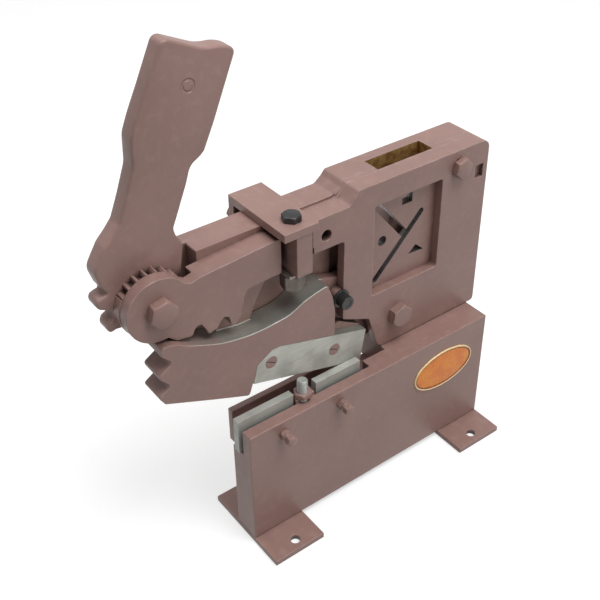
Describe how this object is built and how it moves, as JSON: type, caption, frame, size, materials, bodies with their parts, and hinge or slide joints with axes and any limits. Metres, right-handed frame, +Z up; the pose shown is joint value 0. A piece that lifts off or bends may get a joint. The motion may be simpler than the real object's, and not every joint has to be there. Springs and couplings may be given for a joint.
{
  "type": "geared bench shear",
  "caption": "Bench shear with a long lever, a gear train, a pivoting blade carrier over a fixed lower blade and a window for cutting sections.",
  "frame": {"origin": "centre of the four foot bolts at bench level", "axes": "+X right along the base, +Y to the back, +Z up; the lever end is at -X"},
  "size_m": [0.5467, 0.192, 0.6712],
  "materials": {
    "painted_cast_iron": "semi-gloss rose-brown paint on cast iron",
    "painted_bolt": "the same paint, brushed over the bolt heads",
    "knife_paint": "painted steel plate",
    "black_steel": "black oxide",
    "ground_steel": "ground tool steel",
    "plain_steel": "plain turned steel",
    "dark_steel": "oiled tool steel",
    "bronze": "bearing bronze",
    "badge_orange": "bare glossy oval plate"
  },
  "bodies": {
    "frame": {"base_casting": "painted_cast_iron", "left_foot": "painted_cast_iron", "right_foot": "painted_cast_iron", "front_frame": "painted_cast_iron", "rear_frame": "painted_cast_iron", "front_arm": "painted_cast_iron", "lower_blade": "ground_steel", "blade_set_screws": "painted_bolt", "blade_locknuts": "painted_bolt", "stop_stud": "plain_steel", "stop_stud_nut": "plain_steel", "stirrup_bracket": "painted_cast_iron", "stirrup_bolt": "black_steel", "stirrup_pad": "plain_steel", "stirrup_nut": "plain_steel", "stirrup_clamp_screw": "painted_bolt", "fixed_section_knife": "knife_paint", "fixed_knife_screws": "plain_steel", "lever_pivot_bolt": "painted_bolt", "lever_pivot_washer": "plain_steel", "lever_pivot_nut": "plain_steel", "carrier_pivot_bolt": "painted_bolt", "carrier_thrust_washer": "plain_steel", "carrier_pivot_nut": "plain_steel", "upper_frame_bolt": "painted_bolt", "upper_frame_nut": "plain_steel", "idler_pin": "plain_steel", "retaining_screw": "black_steel", "retaining_washers": "black_steel", "frame_fixing_screws": "black_steel", "arm_fixing_screws": "black_steel", "badge_plate": "badge_orange"},
    "lever": {"lever": "painted_cast_iron", "lever_bush": "bronze", "drive_gear": "painted_bolt", "gear_drive_pins": "plain_steel"},
    "idler": {"idler_gear": "plain_steel"},
    "carrier": {"blade_carrier": "painted_cast_iron", "carrier_bush": "bronze", "upper_blade": "ground_steel", "upper_blade_screws": "painted_bolt", "moving_section_knife": "dark_steel", "moving_knife_screws": "plain_steel"}
  },
  "joints": [
    {"name": "carrier_pivot", "type": "hinge", "parent": "frame", "child": "carrier", "pos_m": [0.066, 0.045, 0.2295], "axis": [0, -1, 0], "range_deg": [0, 11]},
    {"name": "lever_pivot", "type": "hinge", "parent": "frame", "child": "lever", "pos_m": [-0.27732, 0.05, 0.39179], "axis": [0, -1, 0], "range_deg": [0, 72.2]},
    {"name": "idler_pivot", "type": "hinge", "parent": "frame", "child": "idler", "pos_m": [-0.21562, 0.039, 0.36262], "axis": [0, -1, 0], "range_deg": [-128.9, 0]}
  ],
  "couplings": [
    {"joint": "lever_pivot", "follows": "carrier_pivot", "ratio": 6.56},
    {"joint": "idler_pivot", "follows": "carrier_pivot", "ratio": -11.714}
  ]
}
